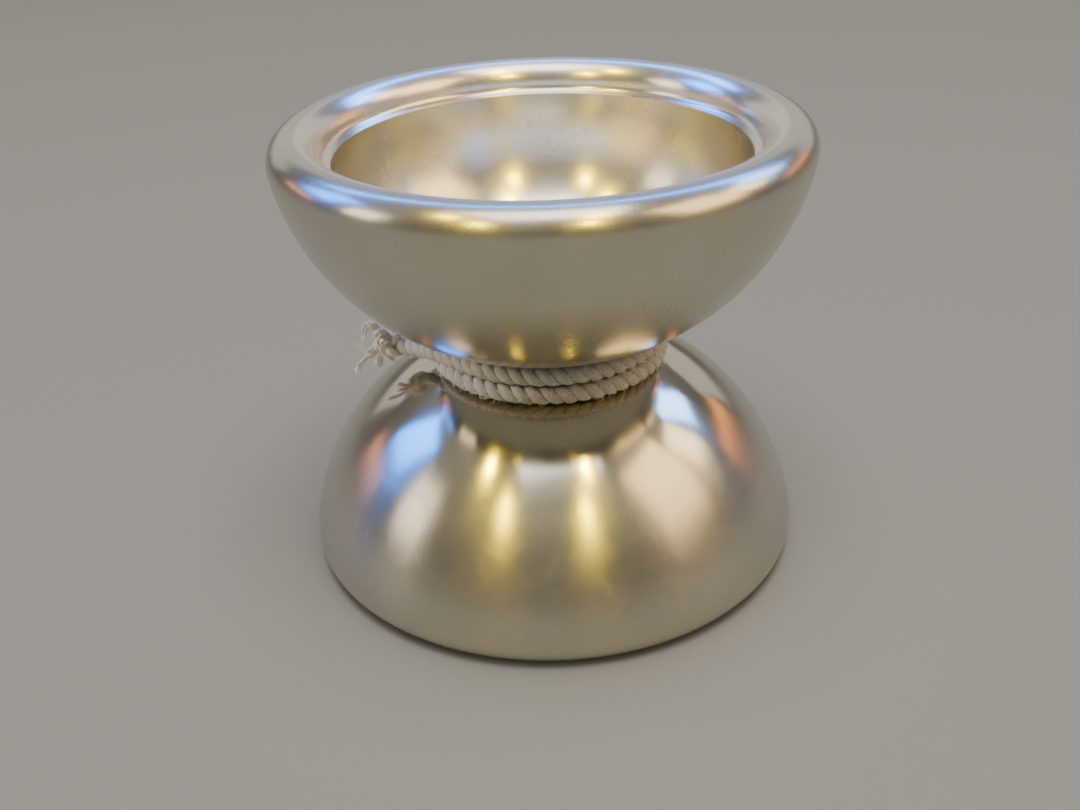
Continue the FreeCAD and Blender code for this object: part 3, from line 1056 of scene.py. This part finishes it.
@dataclass
class Strands:
    """Vertices, faces, UVs and crown values of laid strands, gathered into one mesh."""

    vertices: list[np.ndarray]
    faces: list[tuple[int, ...]]
    uvs: list[tuple[float, float]]
    crown: list[np.ndarray]
    count: int = 0

    @classmethod
    def empty(cls) -> "Strands":
        """A gathering with nothing in it."""
        return cls([], [], [], [])

    def add_tube(self, centres: np.ndarray, out: np.ndarray, radius: np.ndarray, lean: np.ndarray) -> None:
        """Adds one closed tube.

        Args:
            centres: The tube's ring centres.
            out: At each ring, the direction that faces away from the cord's middle.
            radius: Ring radii, one row for each ring and one column for each side.
            lean: Crown value of each side, which places the painted shade of the creases.
        """
        rings, sides = radius.shape
        tangents = unit(np.gradient(centres, axis=0))
        across = unit(np.cross(tangents, out))
        angles = np.arange(sides) * FULL_TURN / sides
        ring = (
            centres[:, None, :]
            + (radius * np.cos(angles))[:, :, None] * out[:, None, :]
            + (radius * np.sin(angles))[:, :, None] * across[:, None, :]
        )
        first = self.count
        self.vertices.append(ring.reshape(-1, 3))
        self.vertices.append(centres[[0, -1]])
        self.crown.append(np.concatenate([np.tile(lean, rings), [0.5, 0.5]]))
        along = distances(centres) / MM
        around = FULL_TURN * float(radius.mean()) / MM
        for i in range(rings - 1):
            for k in range(sides):
                n = (k + 1) % sides
                a, b = first + i * sides, first + (i + 1) * sides
                self.faces.append((a + k, a + n, b + n, b + k))
                v0, v1 = k / sides * around, (k + 1) / sides * around
                self.uvs += [(along[i], v0), (along[i], v1), (along[i + 1], v1), (along[i + 1], v0)]
        start, end = first + rings * sides, first + rings * sides + 1
        last = first + (rings - 1) * sides
        for k in range(sides):
            n = (k + 1) % sides
            self.faces.append((start, first + n, first + k))
            self.faces.append((end, last + k, last + n))
            self.uvs += [(0.0, 0.0)] * 6
        self.count += rings * sides + 2

    def mesh(self, name: str) -> bpy.types.Mesh:
        """Gives the gathering as one smooth mesh."""
        mesh = bpy.data.meshes.new(name)
        mesh.from_pydata(np.concatenate(self.vertices), [], self.faces)
        layer = mesh.uv_layers.new(name="UVMap")
        layer.data.foreach_set("uv", np.array(self.uvs, np.float32).ravel())
        crown = mesh.attributes.new("crown", "FLOAT", "POINT")
        crown.data.foreach_set("value", np.concatenate(self.crown).astype(np.float32))
        mesh.polygons.foreach_set("use_smooth", np.ones(len(mesh.polygons), bool))
        mesh.update()
        return mesh


@dataclass
class CottonString:
    """Two-ply cotton string, wound from the bearing outwards, with its knot and frayed end.

    Sizes in mm, heights from the gap's middle plane unless said otherwise.
    """

    diameter: float = 1.9
    lay: float = 2.9
    yarn_lay: float = 3.4
    yarns: int = 7
    ridge_height: float = 0.022
    ply_offset: float = 0.225  # of the string's diameter
    ply_round: float = 2.3  # sharpness of the corners where the plies meet
    ply_bulge: float = 0.55  # share of a plain round ply, which deepens the crease
    ply_round_size: float = 1.05
    ply_gap: float = 0.012
    lumps: int = 4096
    lump_length: float = 1.7
    wander: float = 0.10  # how far the lumps turn the plies
    uneven: float = 0.03  # how far they thicken them
    inner_layers: tuple[float, ...] = (6.97, 7.93, 8.89, 9.85, 10.81)
    columns: tuple[float, ...] = (-1.35, 0.0, 1.35)
    outer_radius: float = 12.15
    outer_heights: tuple[float, float] = (-1.07, 1.03)
    inner_squeeze: float = 0.71
    points_per_turn: int = 16
    cross_over: float = 0.28
    end_angle: float = -140.0
    step_inner: float = 0.36
    step_outer: float = 0.20
    sides_inner: int = 10
    sides_outer: int = 26
    seed: int = 11
    tail_radius: float = 13.8  # everything further out is the free end
    fuzz_outward: float = 0.35  # least share of a face's direction that points away from the axis
    fuzz_upright: float = 0.85  # most that may point up or down
    fuzz: dict[str, float] = field(default_factory=lambda: {
        "Density": 4.5e6, "Length": 0.42 * MM, "Thickness": 0.016 * MM,
    })
    fray: dict[str, float] = field(default_factory=lambda: {
        "Fibres": 22, "Bundle": 0.20 * MM, "Spread": 0.08 * MM, "Thickness": 0.06 * MM,
    })
    knot_place: Place = (-17.2, 0.5, 22.9)
    knot_string: float = 1.3
    knot_size: Place = (0.36, 0.36, 0.55)

    def turns(self) -> list[tuple[float, float]]:
        """Radius and height of each turn, from the bearing outwards."""
        found: list[tuple[float, float]] = []
        for index, radius in enumerate(self.inner_layers):
            columns = self.columns if index % 2 == 0 else self.columns[::-1]
            found += [(radius, height) for height in columns]
        return found + [(self.outer_radius, height) for height in self.outer_heights]

    def control_points(self) -> list[Place]:
        """Control points of the string's one line, in metres: its turns, then its free end."""
        turns = self.turns()
        swell = 1 / math.cos(math.pi / self.points_per_turn)
        points: list[Place] = []
        for index in range(len(turns) * self.points_per_turn):
            turn, part = divmod(index / self.points_per_turn, 1)
            now, before = turns[int(turn)], turns[max(int(turn) - 1, 0)]
            share = min(part / self.cross_over, 1.0)
            share = share * share * (3 - 2 * share)
            radius = (before[0] + (now[0] - before[0]) * share) * swell
            height = before[1] + (now[1] - before[1]) * share
            angle = math.radians(self.end_angle) + FULL_TURN * (len(turns) - turn - part)
            points.append((radius * math.cos(angle) * MM, radius * math.sin(angle) * MM, (MIDDLE + height) * MM))
        free_end = [
            (-0.0093, -0.0078, 0.0249),
            (-0.0115, -0.0053, 0.0246),
            (-0.0135, -0.0027, 0.0239),
            (-0.0151, -0.0008, 0.0232),
            (-0.0167, 0.0003, 0.0229),
        ]
        return points + free_end

    def lay_plies(self, strands: Strands, line: np.ndarray, size: np.ndarray, along: np.ndarray, sides: int,
                  lay: float, yarns: int) -> None:
        """Twists two plies about a line.

        Args:
            strands: The gathering that gets them.
            line: Points of the cord's middle line.
            size: The cord's diameter at each point, in metres.
            along: Distance of each point along the cord, in metres.
            sides: Sides of each ply's section.
            lay: Length of one full twist, mm.
            yarns: Ridges that the yarns make round each ply.
        """
        normals, binormals = carried_normals(line)
        lump = np.random.default_rng(self.seed).normal(0, 1, self.lumps)
        numbers, last = np.arange(self.lumps), self.lumps - 1
        where = along / (self.lump_length * MM)
        lean = np.interp(where % last, numbers, lump)
        angles = np.arange(sides) * FULL_TURN / sides
        to_rim = np.sqrt(0.25 - (self.ply_offset * np.sin(angles)) ** 2) - self.ply_offset * np.cos(angles)
        to_partner = (self.ply_offset - self.ply_gap) / np.clip(-np.cos(angles), 1e-3, None)
        section = (to_rim**-self.ply_round + to_partner**-self.ply_round) ** (-1 / self.ply_round)
        plain = (0.5 - self.ply_offset) * self.ply_round_size
        section = section * (1 - self.ply_bulge) + plain * self.ply_bulge
        for ply in range(2):
            twist = FULL_TURN * along / (lay * MM) + math.pi * ply + self.wander * lean
            out = np.cos(twist)[:, None] * normals + np.sin(twist)[:, None] * binormals
            centres = line + out * (size * self.ply_offset)[:, None]
            swell = 1 + self.uneven * np.interp((where * 1.3 + 700 * ply) % last, numbers, lump)
            ridge = self.ridge_height * np.cos(
                yarns * (angles[None, :] + (FULL_TURN * along / (self.yarn_lay * MM))[:, None])
            )
            radius = (size * swell)[:, None] * section * (1 + ridge)
            strands.add_tube(centres, out, radius, 0.5 + 0.5 * np.cos(angles))

    def build_cord(self) -> tuple[bpy.types.Object, bpy.types.Mesh, np.ndarray, np.ndarray]:
        """Builds the laid string.

        Returns:
            The cord, the mesh of its outer run for the fuzz, the path and the last direction.
        """
        fine = evenly(smooth_line(self.control_points()), self.step_outer * MM)
        along = distances(fine)
        radii = np.hypot(fine[:, 0], fine[:, 1]) / MM
        reached = int(np.argmax(radii > self.inner_layers[-1] + 0.15))
        split = along[reached]
        grown = np.clip((along - split + 3 * MM) / (9 * MM), 0, 1)
        size = self.diameter * MM * (self.inner_squeeze + (1 - self.inner_squeeze) * grown)
        cut = reached + round(8 / self.step_outer)
        strands = Strands.empty()
        coarse = slice(0, cut + 1)
        inner = evenly(fine[coarse], self.step_inner * MM)
        inner_along = np.linspace(0, along[cut], len(inner))
        self.lay_plies(
            strands, inner, np.interp(inner_along, along, size), inner_along, self.sides_inner, self.lay, 0
        )
        outer = Strands.empty()
        run = slice(cut, len(fine))
        for gathering in (strands, outer):
            self.lay_plies(gathering, fine[run], size[run], along[run], self.sides_outer, self.lay, self.yarns)
        cord = new_piece("string_cord", strands.mesh("string_cord"), Finish.STRING.material())
        LOG.info("string_cord: %.3f m long", along[-1])
        return cord, outer.mesh("outer_run"), fine, unit(fine[-1] - fine[-6])

    def build_fuzz(self, outer: bpy.types.Mesh) -> bpy.types.Object:
        """Stands loose fibres on the outside of the outer turns and the free end."""
        shape = bmesh.new()
        shape.from_mesh(outer)
        shape.normal_update()
        hidden = []
        for face in shape.faces:
            middle = face.calc_center_median()
            radial = Vector((middle.x, middle.y, 0)).normalized()
            facing = face.normal.dot(radial)
            free = math.hypot(middle.x, middle.y) > self.tail_radius * MM
            if not (free or (facing > self.fuzz_outward and abs(face.normal.z) < self.fuzz_upright)):
                hidden.append(face)
        bmesh.ops.delete(shape, geom=hidden, context="FACES")
        shape.to_mesh(outer)
        shape.free()
        source = new_piece("fuzz_source", outer)
        mesh = run_tree(
            source, fuzz_tree(), {**self.fuzz, "Seed": self.seed, "Finish": Finish.TUFT.material()}
        )
        bpy.data.objects.remove(source)
        return new_piece("string_fuzz", mesh)

    def build_knot(self, centre: Place, heading: np.ndarray) -> bpy.types.Object:
        """Ties the overhand knot.

        Args:
            centre: The knot's middle, mm.
            heading: Direction in which the string enters it.

        Returns:
            The knot.
        """
        t = np.linspace(0.06, FULL_TURN - 0.06, 220)
        trefoil = np.stack([np.sin(t) + 2 * np.sin(2 * t), np.cos(t) - 2 * np.cos(2 * t), -np.sin(3 * t)], axis=1)
        trefoil *= np.array(self.knot_size) * MM
        turn = Vector(heading).to_track_quat("Z", "X").to_matrix()
        placed = trefoil @ np.array(turn).T + np.array(centre) * MM
        line = evenly(placed, 0.12 * MM)
        along = np.linspace(0, float(np.linalg.norm(np.diff(line, axis=0), axis=1).sum()), len(line))
        strands = Strands.empty()
        size = np.full(len(line), self.knot_string * MM)
        self.lay_plies(strands, line, size, along, 20, self.yarn_lay, self.yarns)
        return new_piece("string_knot_tied", strands.mesh("string_knot_tied"), Finish.TUFT.material())

    def build_frayed_end(self) -> bpy.types.Object:
        """Opens the string's end past the knot into its yarns and fibres."""
        root = (-17.0, 0.5, 22.95)
        yarns = [
            [(-18.1, 0.3, 24.1), (-19.1, 0.2, 25.4), (-19.8, 0.3, 25.8), (-20.2, 0.5, 25.0), (-20.3, 0.6, 23.9)],
            [(-18.2, 0.9, 23.8), (-18.9, 1.0, 25.0), (-19.6, 1.1, 25.6), (-20.0, 1.3, 24.8), (-20.0, 1.4, 23.8)],
            [(-18.1, 0.3, 23.6), (-19.1, 0.2, 23.3), (-19.7, 0.2, 22.5), (-20.4, 0.4, 22.4), (-21.1, 0.7, 23.1)],
            [(-18.2, 0.5, 22.9), (-19.1, 0.3, 22.1), (-20.1, 0.4, 21.7), (-20.9, 0.6, 21.0), (-21.5, 0.8, 19.7)],
            [(-18.2, 0.4, 22.8), (-18.8, 0.2, 22.1), (-19.2, 0.2, 21.4), (-19.4, 0.3, 20.6)],
            [(-18.2, 0.8, 22.5), (-18.8, 0.9, 21.6), (-18.8, 1.0, 20.9), (-18.9, 1.1, 20.1)],
            [(-17.9, 0.2, 22.8), (-17.8, 0.0, 22.1), (-17.5, -0.1, 21.6), (-17.3, 0.0, 21.1)],
            [(-17.3, -0.4, 23.9), (-18.3, -0.6, 24.8), (-18.8, -0.7, 24.4), (-18.8, -0.6, 23.1)],
            [(-17.3, -0.2, 24.1), (-17.9, -0.3, 25.1), (-18.5, -0.4, 25.1), (-18.9, -0.5, 24.5)],
            [(-17.3, -0.5, 23.7), (-17.9, -0.8, 23.9), (-18.3, -0.8, 23.1), (-18.2, -0.6, 22.3)],
            [(-17.5, 1.2, 22.9), (-18.4, 1.6, 23.2), (-19.1, 1.8, 22.9), (-19.4, 1.9, 22.0)],
            [(-17.3, -0.2, 23.3), (-17.6, -0.5, 23.0), (-17.8, -0.5, 22.4), (-17.7, -0.3, 21.8)],
        ]
        vertices: list[Place] = []
        edges: list[tuple[int, int]] = []
        for yarn in yarns:
            line = smooth_line([tuple(c * MM for c in spot) for spot in (root, *yarn)])
            edges += [(len(vertices) + i, len(vertices) + i + 1) for i in range(len(line) - 1)]
            vertices += [tuple(spot) for spot in line]
        lines = bpy.data.meshes.new("yarns")
        lines.from_pydata(vertices, edges, [])
        source = new_piece("yarns", lines)
        mesh = run_tree(
            source, tuft_tree(), {**self.fray, "Seed": self.seed, "Finish": Finish.TUFT.material()}
        )
        bpy.data.objects.remove(source)
        return new_piece("string_frayed_yarns", mesh)

    def build(self) -> None:
        cord, outer, path, heading = self.build_cord()
        fuzz = self.build_fuzz(outer)
        knot = self.build_knot(self.knot_place, heading)
        end = self.build_frayed_end()
        for piece, nodes in (
            (cord, ("string_winding", "string_tail")), (fuzz, ()), (knot, ("string_knot",)),
            (end, ("string_frayed_end",)),
        ):
            install(piece, Body.OUTER_RACE, Finish.STRING, *nodes)


# ------------------------------------------------------------------ studio


@dataclass(frozen=True)
class Softbox:
    """A studio lamp. Azimuth 0 is the camera's side and turns to the right; metres, degrees."""

    name: str
    azimuth: float
    elevation: float
    width: float
    height: float
    power: float
    tint: str
    distance: float = 0.8
    flagged: bool = True  # a flag keeps its light off the floor
    on_matt: bool = True  # without it the lamp is only mirrored in the metal and doesn't tint the string
    mirrored: bool = True

    def build(self, target: Vector, flags: bpy.types.Collection) -> None:
        """Hangs the lamp, facing the target."""
        data = bpy.data.lights.new(self.name, "AREA")
        data.shape = "RECTANGLE"
        data.size, data.size_y = self.width, self.height
        data.energy = self.power
        data.color = linear(self.tint)[:3]
        lamp = bpy.data.objects.new(self.name, data)
        turn, lift = math.radians(self.azimuth), math.radians(self.elevation)
        back = Vector((math.sin(turn) * math.cos(lift), -math.cos(turn) * math.cos(lift), math.sin(lift)))
        lamp.location = target + back * self.distance
        lamp.rotation_mode = "QUATERNION"
        lamp.rotation_quaternion = back.to_track_quat("Z", "Y")
        lamp.visible_diffuse, lamp.visible_glossy = self.on_matt, self.mirrored
        if self.flagged:
            lamp.light_linking.receiver_collection = flags
        bpy.context.scene.collection.objects.link(lamp)


@dataclass
class Studio:
    """Camera, floor, ambient light and softboxes. Metres."""

    camera_place: Place = (0.0, -0.118257, 0.081548)
    camera_aim: Place = (-0.001158, 0.0, 0.014986)
    camera_roll: float = -2.108
    lens: float = 39.805
    horizon: str = "#8E8980"
    zenith: str = "#D2CABA"
    ambient_strength: float = 0.62
    floor_half: float = 3.0
    lamps: tuple[Softbox, ...] = (
        Softbox("overhead", 10, 84, 0.5, 0.5, 3.6, "#FAF6F0", flagged=False),
        Softbox("back_wall", 180, 17, 1.5, 0.30, 0.95, "#EFE9E4"),
        Softbox("window_back", 180, 48, 0.95, 0.14, 4.6, "#4690FF"),
        Softbox("window_left", -108, 34, 0.26, 0.30, 2.8, "#1C80FF"),
        Softbox("window_right", 124, 38, 0.20, 0.22, 1.5, "#7FB0FF"),
        Softbox("wall_right", 72, 36, 0.40, 0.50, 2.5, "#FFD79A"),
        Softbox("wall_side", 101, 35, 0.18, 0.26, 0.8, "#FFE0B0"),
        Softbox("wall_left", -76, 22, 0.22, 0.34, 0.9, "#FFEBD2"),
        Softbox("wood_right", 122, 13, 0.32, 0.10, 0.22, "#FF9A3C"),
        Softbox("wood_left", -112, 12, 0.28, 0.09, 0.18, "#FFA664"),
        Softbox("string_fill", -84, 26, 0.30, 0.30, 3.8, "#FFEBCB", mirrored=False),
        Softbox("lamp_a", -60, 60, 0.035, 0.035, 1.2, "#FFDE14", on_matt=False),
        Softbox("lamp_b", -30, 43, 0.035, 0.035, 1.35, "#FFDE14", on_matt=False),
        Softbox("lamp_c", 20, 42, 0.035, 0.035, 1.35, "#FFDE14", on_matt=False),
        Softbox("lamp_d", 36, 66, 0.035, 0.035, 1.2, "#FFDE14", on_matt=False),
    )

    def build_camera(self) -> None:
        """Sets the camera at its place, aim and roll."""
        data = bpy.data.cameras.new("camera")
        data.sensor_width = 36.0
        data.sensor_fit = "HORIZONTAL"
        data.lens = self.lens
        data.clip_start, data.clip_end = 0.005, 20.0
        camera = bpy.data.objects.new("camera", data)
        forward = (Vector(self.camera_aim) - Vector(self.camera_place)).normalized()
        right = forward.cross(Vector((0, 0, 1))).normalized()
        up = right.cross(forward)
        roll = math.radians(self.camera_roll)
        right, up = (
            right * math.cos(roll) + up * math.sin(roll),
            up * math.cos(roll) - right * math.sin(roll),
        )
        turn = Matrix((right, up, -forward)).transposed().to_4x4()
        camera.matrix_world = Matrix.Translation(self.camera_place) @ turn
        bpy.context.scene.collection.objects.link(camera)
        bpy.context.scene.camera = camera

    def build_floor(self) -> bpy.types.Collection:
        """Lays the pale floor and gives what the flagged lamps leave out."""
        half = self.floor_half
        mesh = bpy.data.meshes.new("studio_floor")
        mesh.from_pydata([(-half, -half, 0), (half, -half, 0), (half, half, 0), (-half, half, 0)], [], [(0, 1, 2, 3)])
        floor = new_piece("studio_floor", mesh, PaleFloor().material())
        flags = bpy.data.collections.new("flags")
        flags.objects.link(floor)
        flags.collection_objects[0].light_linking.link_state = "EXCLUDE"
        return flags

    def build_light(self, flags: bpy.types.Collection) -> None:
        """Sets the ambient light and hangs the lamps."""
        world = bpy.data.worlds.new("studio")
        world.use_nodes = True
        world.node_tree.nodes.clear()
        tree = world.node_tree
        direction = add_node(tree, "ShaderNodeTexCoord").outputs["Generated"]
        height = add_node(tree, "ShaderNodeSeparateXYZ", {0: direction}).outputs[2]
        rise = spread(tree, height, 0.25, 0.95, interpolation_type="SMOOTHSTEP")
        tone = blend(tree, rise, self.horizon, self.zenith)
        glow = add_node(tree, "ShaderNodeBackground", {"Color": tone, "Strength": self.ambient_strength})
        add_node(tree, "ShaderNodeOutputWorld", {"Surface": glow})
        bpy.context.scene.world = world
        for lamp in self.lamps:
            lamp.build(Vector((0, 0, MIDDLE * MM)), flags)

    def build(self) -> None:
        """Builds the studio."""
        self.build_camera()
        self.build_light(self.build_floor())
        LOG.info("studio: %d lamps", len(self.lamps))


def main() -> None:
    """Builds every piece in order."""
    logging.basicConfig(level=logging.INFO, format="%(name)s %(message)s")
    Studio().build()
    CottonString().build()
    CupHalf(Side.LOWER, Body.LOWER).build()
    CupHalf(Side.UPPER, Body.UPPER).build()
    Bearing().build()
    Axle().build()


if __name__ == "__main__":
    main()
